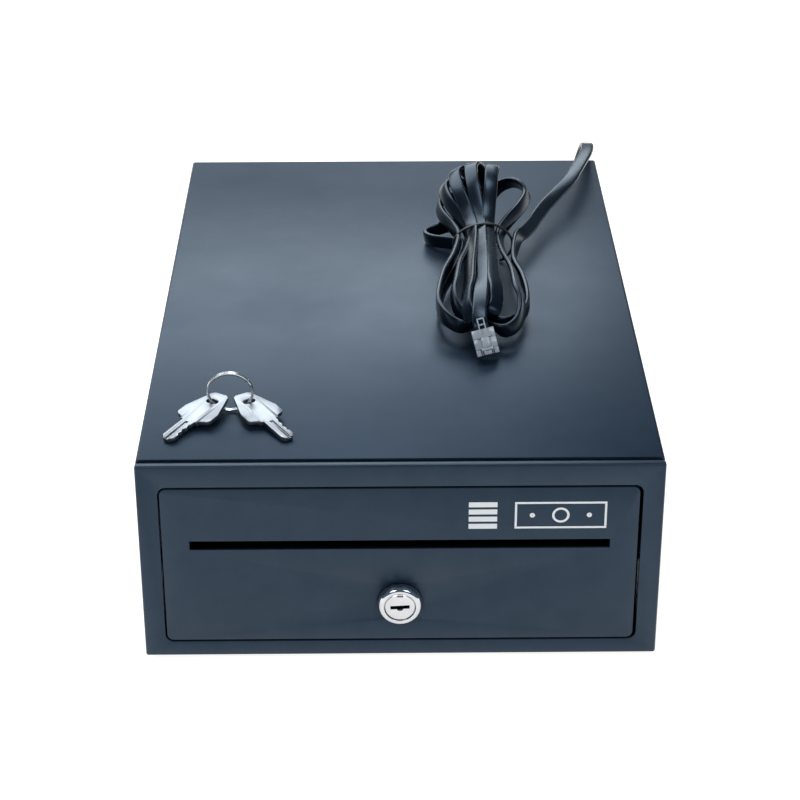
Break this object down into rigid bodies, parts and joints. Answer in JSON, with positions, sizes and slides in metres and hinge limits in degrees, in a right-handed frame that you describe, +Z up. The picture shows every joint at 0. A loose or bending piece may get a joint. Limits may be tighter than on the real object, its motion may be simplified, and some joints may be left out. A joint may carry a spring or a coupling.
{
  "type": "cash drawer",
  "caption": "Compact steel cash drawer with a media slot and cam lock in its front, sliding tray on rollers, electric latch, printer lead with jack plug, and keys on a ring.",
  "frame": {"origin": "on the floor, under the middle of the case", "axes": "+X to the right seen from the front, +Y towards the rear, +Z up; the drawer opens towards -Y"},
  "size_m": [0.24, 0.3968, 0.1388],
  "materials": {
    "painted_case": "satin fine-textured powder coat",
    "painted_front": "satin fine-textured powder coat",
    "zinc_steel": "zinc plated",
    "bright_steel": "polished",
    "chrome_lock": "polished chrome",
    "nickel_keys": "tumbled nickel plate",
    "black_moulding": "fine-grained moulding",
    "nylon": "natural nylon",
    "rubber_feet": "matte rubber",
    "cable_sheath": "smooth soft sheath",
    "clear_plug": "clear moulded",
    "copper_coil": "varnished winding"
  },
  "bodies": {
    "case": {"top_cover": "painted_case", "base_pan": "painted_case", "front_frame": "painted_case", "rail_left": "zinc_steel", "rail_right": "zinc_steel", "track_left": "zinc_steel", "track_right": "zinc_steel", "hold_down_left": "zinc_steel", "hold_down_right": "zinc_steel", "lock_keeper": "zinc_steel", "latch_bracket": "zinc_steel", "solenoid_frame": "zinc_steel", "latch_pivot": "zinc_steel", "cover_screw_left_high": "zinc_steel", "cover_screw_right_high": "zinc_steel", "cover_screw_left_low": "zinc_steel", "cover_screw_right_low": "zinc_steel", "foot_front_left": "rubber_feet", "foot_front_right": "rubber_feet", "foot_rear_left": "rubber_feet", "foot_rear_right": "rubber_feet", "solenoid_coil": "copper_coil", "latch_spring": "bright_steel", "eject_spring": "bright_steel", "microswitch": "black_moulding", "cord_gland": "black_moulding", "cord_tie": "black_moulding", "inner_lead": "cable_sheath", "cord_run": "cable_sheath", "cord_hank": "cable_sheath", "cord_tail": "cable_sheath", "plug_body": "clear_plug"},
    "drawer": {"drawer_front": "painted_front", "drawer_pan": "zinc_steel", "drawer_rail_left": "zinc_steel", "drawer_rail_right": "zinc_steel", "striker": "zinc_steel", "media_guide": "zinc_steel", "till_insert": "black_moulding", "coin_tray": "black_moulding", "clip_rod": "bright_steel", "lock_body": "chrome_lock", "lock_nut": "zinc_steel"},
    "lock_barrel": {"lock_plug": "chrome_lock", "lock_cam": "zinc_steel", "cam_screw": "zinc_steel"},
    "case_roller_left": {"roller_case_left": "nylon"},
    "case_roller_right": {"roller_case_right": "nylon"},
    "drawer_roller_left": {"roller_drawer_left": "nylon"},
    "drawer_roller_right": {"roller_drawer_right": "nylon"},
    "clip_1": {"bill_clip_1": "black_moulding"},
    "clip_2": {"bill_clip_2": "black_moulding"},
    "clip_3": {"bill_clip_3": "black_moulding"},
    "hook": {"latch_hook": "zinc_steel"},
    "plunger_bar": {"plunger": "zinc_steel"},
    "switch_arm": {"switch_lever": "bright_steel"},
    "keys": {"key_ring": "bright_steel", "key_left": "nickel_keys", "key_right": "nickel_keys"}
  },
  "joints": [
    {"name": "drawer_slide", "type": "slide", "parent": "case", "child": "drawer", "axis": [0, -1, 0], "range_m": [0, 0.25]},
    {"name": "lock_turn", "type": "hinge", "parent": "drawer", "child": "lock_barrel", "pos_m": [-0.0004, -0.1825, 0.0334], "axis": [0, -1, 0], "range_deg": [0, 90]},
    {"name": "case_roller_left_spin", "type": "hinge", "parent": "case", "child": "case_roller_left", "pos_m": [-0.1081, -0.152, 0.0323], "axis": [1, 0, 0], "continuous": true},
    {"name": "drawer_roller_left_spin", "type": "hinge", "parent": "drawer", "child": "drawer_roller_left", "pos_m": [-0.1079, 0.14, 0.0323], "axis": [1, 0, 0], "continuous": true},
    {"name": "case_roller_right_spin", "type": "hinge", "parent": "case", "child": "case_roller_right", "pos_m": [0.1081, -0.152, 0.0323], "axis": [1, 0, 0], "continuous": true},
    {"name": "drawer_roller_right_spin", "type": "hinge", "parent": "drawer", "child": "drawer_roller_right", "pos_m": [0.1079, 0.14, 0.0323], "axis": [1, 0, 0], "continuous": true},
    {"name": "bill_clip_1_lift", "type": "hinge", "parent": "drawer", "child": "clip_1", "pos_m": [-0.0672, 0.114, 0.0478], "axis": [-1, 0, 0], "range_deg": [0, 105]},
    {"name": "bill_clip_2_lift", "type": "hinge", "parent": "drawer", "child": "clip_2", "pos_m": [0, 0.114, 0.0478], "axis": [-1, 0, 0], "range_deg": [0, 105]},
    {"name": "bill_clip_3_lift", "type": "hinge", "parent": "drawer", "child": "clip_3", "pos_m": [0.0672, 0.114, 0.0478], "axis": [-1, 0, 0], "range_deg": [0, 105]},
    {"name": "hook_swing", "type": "hinge", "parent": "case", "child": "hook", "pos_m": [0, 0.174, 0.036], "axis": [1, 0, 0], "range_deg": [0, 20]},
    {"name": "plunger_slide", "type": "slide", "parent": "case", "child": "plunger_bar", "axis": [0, 0, -1], "range_m": [0, 0.0043]},
    {"name": "switch_press", "type": "hinge", "parent": "case", "child": "switch_arm", "pos_m": [0.0195, 0.1536, 0.02], "axis": [-1, 0, 0], "range_deg": [0, 6], "stiffness_Nm_per_rad": 0.02},
    {"name": "keys_lift", "type": "slide", "parent": "case", "child": "keys", "axis": [0, 0, 1], "range_m": [0, 0.08]}
  ],
  "couplings": [
    {"joint": "case_roller_left_spin", "follows": "drawer_slide", "rad_per_m": 125},
    {"joint": "case_roller_right_spin", "follows": "drawer_slide", "rad_per_m": 125},
    {"joint": "drawer_roller_left_spin", "follows": "drawer_slide", "rad_per_m": 125},
    {"joint": "drawer_roller_right_spin", "follows": "drawer_slide", "rad_per_m": 125},
    {"joint": "plunger_slide", "follows": "hook_swing", "m_per_rad": 0.012}
  ]
}
